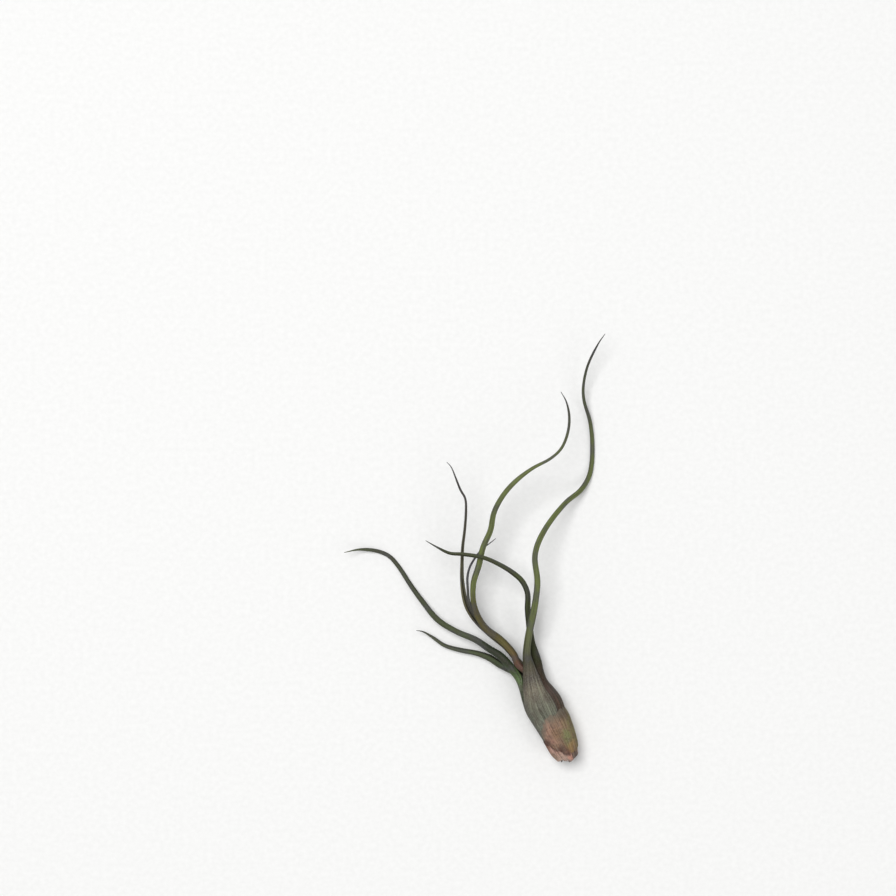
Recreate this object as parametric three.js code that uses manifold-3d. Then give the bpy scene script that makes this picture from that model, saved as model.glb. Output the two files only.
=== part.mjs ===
// A bulb-forming air plant as picked, lying on its side. The inflated sheaths of seven leaves lie round
// each other in three layers and make a hollow bulb; above the neck every leaf is a blade rolled into a
// slim grooved tube. A dry old sheath, three dry scales and a short woody stem make up the foot.
//
// Millimetres, +Z up. The plant lies on z = 0. +Y runs from the bulb to the tip of the longest leaf, +X to
// its right seen from above, and the origin is on the floor under the middle of the plant.

import * as THREE from 'three';
import { mergeVertices } from 'three/addons/utils/BufferGeometryUtils.js';
import Module from 'manifold-3d';

// ---- Driving dimensions -------------------------------------------------------------------------------

const WALL = 0.65; // a leaf's thickness
const GAP = 0.4; // the air between two layers of sheaths
const LAYER_PITCH = WALL + GAP;
const ROLL_CORE = 0.25; // the least inner radius of a roll, as a share of its outer radius

const FOOT = { x: 29.9, y: -66.1 }; // the lower end of the bulb's axis, in plan
const LEAN = 26.1; // degrees that the bulb's axis leans to the left of +Y
const AXIS_HEIGHT = 6.5; // the bulb's axis above the floor
const SHEATH_TOP = 19.5; // along the axis, where sheaths stop being rings of the bulb

// Outer radius of the outer sheath layer, at places along the bulb's axis.
const BULB_OUTLINE = [
  [0, 2.2],
  [1.5, 3.0],
  [3.5, 3.95],
  [7.5, 4.85],
  [11, 5.35],
  [16, 5.85],
  [20, 6.05],
  [24, 5.5],
  [29.5, 4.4],
];

const BLADE_WRAP = 160; // half the angle that a rolled blade closes to
const STATION_STEP = 3.0; // distance between two sections of a leaf
const SHEATH_STEP = 4.0; // distance between two rows of a sheath's shape
const AIM = 0.5; // a blade's direction is measured this far before and after a section
const ARC_STEPS = 9; // sides across a leaf's back

const OLD_SHEATH_GAP = 0.3;
const OLD_SHEATH_WALL = 0.6;
const OLD_SHEATH_COLUMNS = 30;
const OLD_SHEATH_ROWS = 7;
const SCALE_WALL = 0.7;
const SCALE_ROWS = 3;
const SCALE_COLUMN = 13; // degrees between two columns of a scale
const SCALE_TOP_GAP = 0.65; // from a scale's upper edge to the old sheath's lower edge
const SCALE_CURL = 0.06; // how far a scale stands off, for each millimetre below SCALE_CURL_START
const SCALE_CURL_START = 4;

const STEM_RADIUS = 1.15;
const SEAT_RADIUS = 2.07; // the stem's collar, which the sheaths sit on
const STEM_START = 0.2; // along the axis
const STEM_END = 6.5;
const ROOT_RADIUS = 0.42;
const ROOT_HOLD = 1.0; // the length of a root inside the stem
const TAPER = 0.8; // the narrow end of the stem and of a root, as a share of its radius

// ---- The leaves ---------------------------------------------------------------------------------------
//
// Angles are round the bulb's axis: 0 points to the right in plan and 90 straight up. "facing" is the way
// a leaf's back points, and "wrap" is half the angle that it goes round.
//
// sheath: its layer in the bulb (1 is the outer one), its start along the axis, its facing and its wrap.
// neck:   sections [along, side, height, radius, facing, wrap], measured from the bulb's axis.
// blade:  places [x, y, z, width] of its middle, from the neck to the tip.
// roll:   the facing of the rolled blade, at its start and at its tip.

const LEAVES = {
  leaf_long_right: {
    colour: 0x6c7642,
    sheath: { layer: 1, start: 1.6, facing: 114, wrap: 61.5 },
    neck: [
      [25, 0.1, 0.4, 4.7, 104, 51],
      [29.5, 0.5, 1.3, 2.8, 94, 66],
      [33, 1.4, 2.3, 1.8, 75, 85],
    ],
    roll: [60, 20],
    blade: [
      [16.3, -32.4, 9.1, 2.5],
      [16.9, -27.0, 10.8, 2.3],
      [18.0, -21.6, 12.4, 2.2],
      [19.0, -16.0, 13.7, 2.0],
      [19.5, -10.0, 14.7, 1.9],
      [18.7, -2.8, 15.0, 1.8],
      [19.9, 2.1, 14.4, 1.8],
      [23.3, 8.0, 12.0, 1.7],
      [28.7, 14.3, 7.0, 1.6],
      [33.5, 18.2, 3.2, 1.6],
      [36.3, 23.2, 1.0, 1.5],
      [37.1, 30.8, 0.7, 1.4],
      [36.4, 39.2, 1.6, 1.2],
      [34.4, 46.0, 3.8, 1.0],
      [34.1, 50.5, 5.3, 0.9],
      [35.4, 57.0, 7.6, 0.8],
      [38.6, 63.8, 10.0, 0.7],
      [40.74, 66.9, 11.0, 0.6],
    ],
  },
  leaf_front_left: {
    colour: 0x676f3c,
    sheath: { layer: 2, start: 4.0, facing: 95, wrap: 54 },
    neck: [
      [20.5, 0.0, 1.0, 3.1, 95, 68],
      [24, 0.1, 1.9, 1.6, 95, 120],
      [29.5, 0.1, 0.9, 1.25, 95, 140],
      [33.5, -1.5, 1.4, 1.2, 110, 155],
    ],
    roll: [110, 150],
    blade: [
      [12.0, -32.8, 9.0, 2.2],
      [8.1, -28.5, 10.0, 2.2],
      [3.7, -25.2, 11.2, 2.2],
      [1.0, -21.2, 12.2, 2.0],
      [-0.4, -16.2, 12.9, 1.7],
      [-0.3, -10.5, 13.5, 1.8],
      [1.3, -5.3, 13.9, 1.9],
      [2.6, 0.3, 14.2, 1.8],
      [4.9, 5.6, 15.0, 1.8],
      [6.0, 11.2, 16.2, 1.7],
      [8.7, 16.4, 17.6, 1.6],
      [12.6, 20.9, 18.6, 1.5],
      [17.8, 24.9, 19.0, 1.1],
      [23.5, 28.0, 18.6, 0.9],
      [26.9, 31.2, 18.0, 0.9],
      [28.9, 36.1, 16.6, 0.9],
      [29.4, 41.0, 15.2, 0.8],
      [28.5, 45.7, 13.8, 0.7],
      [26.8, 48.8, 13.0, 0.6],
    ],
  },
  leaf_low_left: {
    colour: 0x3f4d30,
    sheath: { layer: 1, start: 1.8, facing: 217, wrap: 38.5 },
    neck: [
      [25, -0.9, 0.1, 4.2, 198, 36],
      [27.5, -2.2, 0.6, 2.4, 175, 46],
      [30, -3.1, 0.6, 1.4, 170, 130],
    ],
    roll: [170, 200],
    blade: [
      [11.8, -37.9, 6.6, 2.7],
      [8.3, -33.9, 6.6, 2.5],
      [4.8, -31.7, 6.2, 2.3],
      [0.3, -28.7, 5.5, 2.1],
      [-5.7, -26.2, 4.5, 1.9],
      [-11.5, -22.6, 3.4, 1.9],
      [-16.3, -16.9, 2.2, 1.7],
      [-20.1, -11.7, 1.2, 1.5],
      [-23.6, -6.3, 0.7, 1.4],
      [-26.7, -2.8, 0.6, 1.3],
      [-30.7, -1.1, 1.0, 1.2],
      [-36.0, -0.6, 2.8, 0.9],
      [-40.86, -1.5, 5.0, 0.6],
    ],
  },
  leaf_short_left: {
    colour: 0x43552f,
    sheath: { layer: 2, start: 3.9, facing: 215, wrap: 54 },
    neck: [
      [20.5, -0.9, -0.6, 3.0, 215, 66],
      [24, -1.7, -1.2, 1.45, 215, 120],
      [27, -1.6, -2.3, 1.2, 225, 140],
      [30, -2.1, -2.9, 1.2, 225, 150],
    ],
    roll: [215, 200],
    blade: [
      [11.3, -38.3, 3.5, 2.3],
      [7.9, -36.6, 3.1, 2.3],
      [4.7, -34.6, 2.7, 2.1],
      [0.8, -33.2, 2.3, 1.7],
      [-4.5, -32.2, 1.9, 1.5],
      [-9.3, -30.8, 1.7, 1.2],
      [-13.1, -28.2, 2.0, 1.0],
      [-16.1, -26.4, 2.7, 0.8],
      [-18.3, -26.0, 3.3, 0.6],
    ],
  },
  leaf_arched: {
    colour: 0x464c38,
    sheath: { layer: 1, start: 2.0, facing: 334, wrap: 74.5 },
    neck: [
      [25, 0.6, -0.4, 4.1, 346, 62],
      [27.5, 1.9, 0.0, 2.8, 358, 57],
      [30, 3.4, -0.4, 1.75, 345, 130],
    ],
    roll: [350, 300],
    blade: [
      [19.4, -35.0, 5.5, 3.0],
      [17.8, -29.7, 6.1, 2.5],
      [17.2, -24.5, 7.2, 2.1],
      [16.6, -19.0, 9.4, 1.9],
      [16.5, -14.0, 11.8, 1.7],
      [14.8, -10.2, 13.8, 1.7],
      [11.6, -7.3, 15.6, 1.6],
      [7.3, -4.7, 17.0, 1.4],
      [2.6, -2.7, 17.6, 1.3],
      [-3.7, -1.7, 17.0, 1.2],
      [-7.8, -1.4, 16.2, 1.0],
      [-12.0, 0.6, 14.8, 0.8],
      [-15.3, 2.5, 13.8, 0.6],
    ],
  },
  leaf_thin_upright: {
    colour: 0x5c5444,
    sheath: { layer: 2, start: 4.2, facing: 335, wrap: 53 },
    neck: [
      [20.5, 0.9, -0.6, 3.0, 333, 66],
      [24, 1.7, -1.2, 1.45, 325, 120],
      [27, 0.9, -2.5, 1.15, 295, 140],
      [30, 0.5, -3.2, 1.1, 285, 150],
    ],
    roll: [280, 250],
    blade: [
      [14.5, -36.6, 4.0, 2.1],
      [10.1, -31.2, 5.9, 2.0],
      [5.6, -27.5, 7.1, 1.9],
      [2.0, -24.3, 7.7, 1.8],
      [-0.6, -21.2, 9.0, 1.8],
      [-2.3, -18.2, 10.0, 1.7],
      [-3.3, -14.6, 10.8, 1.6],
      [-3.9, -9.5, 11.2, 1.3],
      [-3.9, -4.5, 11.2, 1.1],
      [-3.7, 0.5, 11.2, 1.0],
      [-3.1, 5.5, 12.0, 0.9],
      [-2.7, 11.0, 13.8, 0.8],
      [-2.9, 15.5, 15.6, 0.7],
      [-4.4, 18.2, 16.8, 0.7],
      [-5.9, 22.0, 18.0, 0.6],
      [-7.3, 25.4, 18.8, 0.6],
      [-8.7, 26.9, 19.2, 0.6],
    ],
  },
  leaf_inner_thin: {
    colour: 0x55554c,
    sheath: { layer: 3, start: 7.2, facing: 90, wrap: 60 },
    neck: [
      [12, 0, 0, 1.5, 90, 140],
      [19, 0, 0, 0.9, 100, 160],
      [24, 0, -0.2, 0.5, 110, 160],
      [29.5, -0.5, -0.7, 0.45, 120, 160],
      [33.5, -1.3, -0.4, 0.45, 120, 160],
    ],
    roll: [150, 200],
    blade: [
      [12.2, -34.0, 6.8, 0.9],
      [8.4, -29.4, 8.0, 0.9],
      [2.8, -24.3, 9.7, 0.9],
      [-0.3, -19.8, 10.8, 0.9],
      [-1.8, -16.2, 11.9, 0.9],
      [-2.1, -12.6, 11.7, 0.8],
      [-2.2, -9.0, 11.1, 0.8],
      [-1.2, -5.3, 10.4, 0.7],
      [2.3, -0.4, 10.0, 0.7],
      [5.1, 1.8, 10.2, 0.6],
      [6.7, 3.1, 10.4, 0.6],
    ],
  },
};

// ---- Curves and places --------------------------------------------------------------------------------

const radians = THREE.MathUtils.degToRad;
const ALONG = new THREE.Vector3(-Math.sin(radians(LEAN)), Math.cos(radians(LEAN)), 0);
const UP = new THREE.Vector3(0, 0, 1);
const SIDE = new THREE.Vector3().crossVectors(ALONG, UP);

function bulbPoint(along, side, height) {
  return new THREE.Vector3(FOOT.x, FOOT.y, AXIS_HEIGHT + height)
    .addScaledVector(ALONG, along)
    .addScaledVector(SIDE, side);
}

// The value at `place` on a smooth curve through rows whose first number is their place. The curve's
// slope at a row is the slope between the row's neighbours.
function smoothValue(rows, column, place) {
  const last = rows.length - 1;
  let k = 0;
  while (k < last - 1 && place > rows[k + 1][0]) {
    k += 1;
  }
  const slopeAt = (i) => {
    const before = rows[Math.max(i - 1, 0)];
    const after = rows[Math.min(i + 1, last)];
    return (after[column] - before[column]) / (after[0] - before[0]);
  };
  const span = rows[k + 1][0] - rows[k][0];
  const t = THREE.MathUtils.clamp((place - rows[k][0]) / span, 0, 1);
  const ease = t * t * (3 - 2 * t);
  const start = t * (1 - t) * (1 - t) * span * slopeAt(k);
  const end = t * t * (t - 1) * span * slopeAt(k + 1);
  return rows[k][column] * (1 - ease) + rows[k + 1][column] * ease + start + end;
}

function bulbRadius(along) {
  return smoothValue(BULB_OUTLINE, 1, along);
}

// ---- Shells -------------------------------------------------------------------------------------------

// A closed body lofted through sections. A section has the same number of points on its outer and inner
// line, and the two lines are joined at their ends.
function ribbonGeometry(sections) {
  const across = sections[0].outer.length;
  const around = 2 * across;
  const positions = [];
  for (const { outer, inner } of sections) {
    for (const point of [...outer, ...inner.toReversed()]) {
      positions.push(point.x, point.y, Math.max(point.z, 0));
    }
  }
  const triangles = [];
  const quad = (a, b, c, d) => triangles.push(a, b, c, a, c, d);
  for (let ring = 0; ring < sections.length - 1; ring += 1) {
    for (let i = 0; i < around; i += 1) {
      const next = (i + 1) % around;
      const here = ring * around;
      const there = here + around;
      quad(here + i, there + i, there + next, here + next);
    }
  }
  const top = (sections.length - 1) * around;
  for (let i = 0; i < across - 1; i += 1) {
    const opposite = around - 1 - i;
    quad(i, i + 1, opposite - 1, opposite);
    quad(top + i, top + opposite, top + opposite - 1, top + i + 1);
  }
  const geometry = new THREE.BufferGeometry();
  geometry.setAttribute('position', new THREE.Float32BufferAttribute(positions, 3));
  geometry.setIndex(triangles);
  return geometry;
}

// A thick arc round `middle`, across the direction `heading`.
function arcSection({ middle, heading, radius, facing, wrap, wall }) {
  const side = new THREE.Vector3().crossVectors(heading, UP).normalize();
  const lift = new THREE.Vector3().crossVectors(side, heading).normalize();
  const innerRadius = Math.max(radius - wall, radius * ROLL_CORE);
  const outer = [];
  const inner = [];
  for (let i = 0; i <= ARC_STEPS; i += 1) {
    const angle = radians(facing - wrap + (2 * wrap * i) / ARC_STEPS);
    const out = new THREE.Vector3()
      .addScaledVector(side, Math.cos(angle))
      .addScaledVector(lift, Math.sin(angle));
    outer.push(middle.clone().addScaledVector(out, radius));
    inner.push(middle.clone().addScaledVector(out, innerRadius));
  }
  return { outer, inner };
}

// ---- Leaves -------------------------------------------------------------------------------------------

// Rows [distance, x, y, z, radius, facing, wrap, turn] from the foot of the sheath to the tip of the
// blade. "turn" goes from 0, a section square to the bulb's axis, to 1, square to the blade.
function leafRows({ sheath, neck, roll, blade }) {
  const rows = [];
  const add = (point, ...values) => rows.push([0, point.x, point.y, point.z, ...values]);
  const inset = (sheath.layer - 1) * LAYER_PITCH;
  const sheathEnd = Math.min(SHEATH_TOP, neck[0][0] - SHEATH_STEP);
  const rings = Math.max(2, Math.round((sheathEnd - sheath.start) / SHEATH_STEP));
  for (let i = 0; i <= rings; i += 1) {
    const along = THREE.MathUtils.lerp(sheath.start, sheathEnd, i / rings);
    add(bulbPoint(along, 0, 0), bulbRadius(along) - inset, sheath.facing, sheath.wrap, 0);
  }
  for (const [along, side, height, radius, facing, wrap] of neck) {
    add(bulbPoint(along, side, height), radius, facing, wrap, 0);
  }
  blade.forEach(([x, y, z, width], i) => {
    const facing = THREE.MathUtils.lerp(roll[0], roll[1], i / (blade.length - 1));
    add({ x, y, z }, width / 2, facing, BLADE_WRAP, 1);
  });
  for (let i = 1; i < rows.length; i += 1) {
    const step = Math.hypot(...[1, 2, 3].map((c) => rows[i][c] - rows[i - 1][c]));
    rows[i][0] = rows[i - 1][0] + step;
  }
  return rows;
}

function leafSections(leaf) {
  const rows = leafRows(leaf);
  const length = rows.at(-1)[0];
  const count = Math.round(length / STATION_STEP);
  const middleAt = (place) => new THREE.Vector3(...[1, 2, 3].map((c) => smoothValue(rows, c, place)));
  const sections = [];
  for (let i = 0; i <= count; i += 1) {
    const place = (length * i) / count;
    const ahead = middleAt(Math.min(place + AIM, length));
    const travel = ahead.sub(middleAt(Math.max(place - AIM, 0)));
    const turn = smoothValue(rows, 7, place);
    sections.push(
      arcSection({
        middle: middleAt(place),
        heading: ALONG.clone().lerp(travel.normalize(), turn).normalize(),
        radius: smoothValue(rows, 4, place),
        facing: smoothValue(rows, 5, place),
        wrap: smoothValue(rows, 6, place),
        wall: WALL,
      }),
    );
  }
  return sections;
}

// ---- The foot -----------------------------------------------------------------------------------------

// A shell on the bulb between two angles. `low` and `high` give its lower and upper edge at an angle, and
// `lift` is its height over the outer leaf sheaths.
function bulbShell({ from, to, columns, rows, low, high, lift, wall }) {
  const sections = [];
  for (let i = 0; i <= columns; i += 1) {
    const angle = THREE.MathUtils.lerp(from, to, i / columns);
    const outer = [];
    const inner = [];
    for (let j = 0; j <= rows; j += 1) {
      const along = THREE.MathUtils.lerp(low(angle), high(angle), j / rows);
      const radius = bulbRadius(along) + lift(along);
      const cos = Math.cos(radians(angle));
      const sin = Math.sin(radians(angle));
      inner.push(bulbPoint(along, radius * cos, radius * sin));
      outer.push(bulbPoint(along, (radius + wall) * cos, (radius + wall) * sin));
    }
    sections.push({ outer, inner });
  }
  return ribbonGeometry(sections);
}

// Upper edge of the dry old sheath: places [angle, along], from its back round its right to its left.
const OLD_SHEATH_EDGE = [
  [-140, 9.0],
  [-115, 14.0],
  [-90, 15.5],
  [-30, 16.2],
  [10, 16.0],
  [57, 15.8],
  [95, 14.8],
  [128, 12.8],
  [143, 11.2],
  [157, 9.2],
];

// Its lower edge, in the same order.
const OLD_SHEATH_HEM = [
  [-140, 3.8],
  [-60, 3.6],
  [0, 2.7],
  [45, 1.7],
  [80, 1.7],
  [97, 2.4],
  [116, 4.2],
  [138, 6.5],
  [157, 7.8],
  [205, 7.8],
];

function oldSheathGeometry() {
  return bulbShell({
    from: 157,
    to: -140,
    columns: OLD_SHEATH_COLUMNS,
    rows: OLD_SHEATH_ROWS,
    low: (angle) => smoothValue(OLD_SHEATH_HEM, 1, angle) + 0.2 * Math.sin(radians(13 * angle)),
    high: (angle) => smoothValue(OLD_SHEATH_EDGE, 1, angle) + 0.25 * Math.sin(radians(11 * angle)),
    lift: () => OLD_SHEATH_GAP,
    wall: OLD_SHEATH_WALL,
  });
}

// A scale curls in round the stem below the sheaths. Its upper edge runs just under the old sheath.
function scaleGeometry({ edge }) {
  const from = edge.at(-1)[0];
  const to = edge[0][0];
  return bulbShell({
    from,
    to,
    columns: Math.round((from - to) / SCALE_COLUMN),
    rows: SCALE_ROWS,
    low: (angle) => smoothValue(edge, 1, angle),
    high: (angle) => smoothValue(OLD_SHEATH_HEM, 1, angle) - SCALE_TOP_GAP,
    lift: (along) => OLD_SHEATH_GAP + SCALE_CURL * (SCALE_CURL_START - along),
    wall: SCALE_WALL,
  });
}

// edge: a scale's lower edge, places [angle, along].
const SCALES = {
  base_scale_right: {
    colour: 0x8d7458,
    edge: [
      [-55, 1.5],
      [-20, 0.7],
      [10, 0.3],
      [40, 0.0],
      [70, -0.5],
    ],
  },
  base_scale_front: {
    colour: 0x97705f,
    edge: [
      [76, -0.5],
      [97, -0.7],
      [118, 0.2],
    ],
  },
  base_scale_left: {
    colour: 0x9a7361,
    edge: [
      [124, 1.4],
      [147, 1.0],
      [175, 1.4],
      [205, 2.6],
    ],
  },
};

// Broken roots at the stem's lower end: [angle they point to, distance from the axis, length].
const ROOTS = [
  [20, 0.55, 0.8],
  [140, 0.6, 1.0],
  [255, 0.5, 0.7],
];

function solidOf(wasm, geometry) {
  const bare = geometry.clone();
  bare.deleteAttribute('normal');
  bare.deleteAttribute('uv');
  const merged = mergeVertices(bare, 1e-4);
  const vertProperties = new Float32Array(merged.attributes.position.array);
  const triVerts = new Uint32Array(merged.index.array);
  return new wasm.Manifold(new wasm.Mesh({ numProp: 3, vertProperties, triVerts }));
}

function geometryOf(solid) {
  const { vertProperties, triVerts } = solid.getMesh();
  const geometry = new THREE.BufferGeometry();
  geometry.setAttribute('position', new THREE.BufferAttribute(vertProperties, 3));
  geometry.setIndex(new THREE.BufferAttribute(triVerts, 1));
  return geometry;
}

// A round body along the bulb's axis from a profile of [radius, along].
function latheOnAxis(profile, sides) {
  const geometry = new THREE.LatheGeometry(
    profile.map(([radius, along]) => new THREE.Vector2(radius, along)),
    sides,
  );
  const origin = bulbPoint(0, 0, 0);
  return geometry.applyMatrix4(new THREE.Matrix4().makeBasis(SIDE, ALONG, UP).setPosition(origin));
}

function stemGeometry(wasm) {
  const stem = latheOnAxis(
    [
      [0, STEM_START],
      [STEM_RADIUS * TAPER, STEM_START],
      [STEM_RADIUS, 0.9],
      [SEAT_RADIUS, 1.6],
      [SEAT_RADIUS, 4.6],
      [STEM_RADIUS, STEM_END - 0.4],
      [0, STEM_END],
    ],
    14,
  );
  let solid = solidOf(wasm, stem);
  for (const [angle, offset, length] of ROOTS) {
    const root = new THREE.CylinderGeometry(ROOT_RADIUS, ROOT_RADIUS * TAPER, length + ROOT_HOLD, 7);
    const side = offset * Math.cos(radians(angle));
    const height = offset * Math.sin(radians(angle));
    const place = bulbPoint(STEM_START + (ROOT_HOLD - length) / 2, side, height);
    root.applyMatrix4(new THREE.Matrix4().makeBasis(SIDE, ALONG, UP).setPosition(place));
    solid = solid.add(solidOf(wasm, root));
  }
  return geometryOf(solid);
}

// ---- The plant ----------------------------------------------------------------------------------------

function part(name, geometry, colour, roughness) {
  const material = new THREE.MeshStandardMaterial({ color: colour, roughness, metalness: 0 });
  const mesh = new THREE.Mesh(geometry, material);
  mesh.name = name;
  return mesh;
}

const wasm = await Module();
wasm.setup();

const plant = new THREE.Group();
for (const [name, leaf] of Object.entries(LEAVES)) {
  plant.add(part(name, ribbonGeometry(leafSections(leaf)), leaf.colour, 0.75));
}
plant.add(part('old_sheath', oldSheathGeometry(), 0x96786a, 0.85));
for (const [name, scale] of Object.entries(SCALES)) {
  plant.add(part(name, scaleGeometry(scale), scale.colour, 0.9));
}
plant.add(part('stem', stemGeometry(wasm), 0x4a3a30, 0.95));

export default plant;
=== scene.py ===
"""A bulb-forming air plant lying on its side, with its leaves, dry sheath and foot finished for the render.

Lengths are in millimetres, except where a comment says metres, and a point becomes metres as it goes into
a mesh. Angles are in degrees round the bulb's axis: 0 points to the right in plan and 90 straight up.
"""

import math
import random

import bmesh
import bpy
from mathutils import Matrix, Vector, noise


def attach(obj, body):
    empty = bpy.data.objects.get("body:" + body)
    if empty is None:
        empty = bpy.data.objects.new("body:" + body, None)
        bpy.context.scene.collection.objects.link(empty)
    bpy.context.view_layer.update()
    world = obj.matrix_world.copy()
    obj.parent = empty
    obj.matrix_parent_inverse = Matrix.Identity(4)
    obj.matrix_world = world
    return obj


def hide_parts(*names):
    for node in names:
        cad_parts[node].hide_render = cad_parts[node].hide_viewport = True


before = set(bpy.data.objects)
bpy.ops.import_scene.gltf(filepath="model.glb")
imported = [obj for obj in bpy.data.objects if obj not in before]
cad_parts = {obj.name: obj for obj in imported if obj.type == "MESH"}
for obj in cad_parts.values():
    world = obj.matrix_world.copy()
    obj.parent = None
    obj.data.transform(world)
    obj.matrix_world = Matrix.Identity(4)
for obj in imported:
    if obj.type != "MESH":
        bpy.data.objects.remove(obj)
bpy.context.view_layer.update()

MM = 0.001
UP = Vector((0, 0, 1))

# ---- The bulb -----------------------------------------------------------------------------------------

FOOT = Vector((29.9, -66.1, 6.5))  # the lower end of the bulb's axis
LEAN = 26.1  # the axis leans to the left of +Y
ALONG = Vector((-math.sin(math.radians(LEAN)), math.cos(math.radians(LEAN)), 0))
SIDE = ALONG.cross(UP)
SHEATH_TOP = 19.5  # along the axis, where sheaths stop being rings of the bulb
LAYER_PITCH = 1.05  # from one layer of sheaths to the next one in

# Outer radius of the outer sheath layer, at places along the axis.
BULB_OUTLINE = [
    (0, 2.2),
    (1.5, 3.0),
    (3.5, 3.95),
    (7.5, 4.85),
    (11, 5.35),
    (16, 5.85),
    (20, 6.05),
    (24, 5.5),
    (29.5, 4.4),
]

# ---- Leaves -------------------------------------------------------------------------------------------

LEAF_WALL = 0.5  # at the middle of a leaf
THIN_MARGIN = 0.45  # a margin's thickness, as a share of the middle's
MARGIN_POWER = 6  # the higher it is, the closer to the margin a leaf stays thick
BLADE_WRAP = 160  # half the angle that a rolled blade closes to
ROLL_CORE = 0.25  # the least inner radius of a roll, as a share of its outer radius
LEAF_STEP = 0.9  # distance between two rows of a leaf's mesh
SHEATH_STEP = 4.0  # distance between two rows of a sheath's shape
LEAF_COLUMNS = 28
AIM = 0.5  # a blade's direction is measured this far before and after a row
TIP_TAPER = 7.0  # the length over which a blade narrows to its point
TIP_SHARE = 0.3  # the point's width, as a share of the last width in the table
TUCK_DEPTH = 0.72  # a margin that slips under its neighbour sinks by this
TUCK_SHARE = 0.14  # the share of the leaf's half width that is past the margin
SINK_ANGLE = 12  # it sinks over this angle
OPEN_WRAP = (95, 135)  # a leaf closes to a roll between these half angles, and its tucked margins end
DENT_SIZE = 5.0
DENT_DEPTH = 0.06  # as a share of the radius
DENT_FULL = 4.0  # from this radius on, dents have their whole depth

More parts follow.
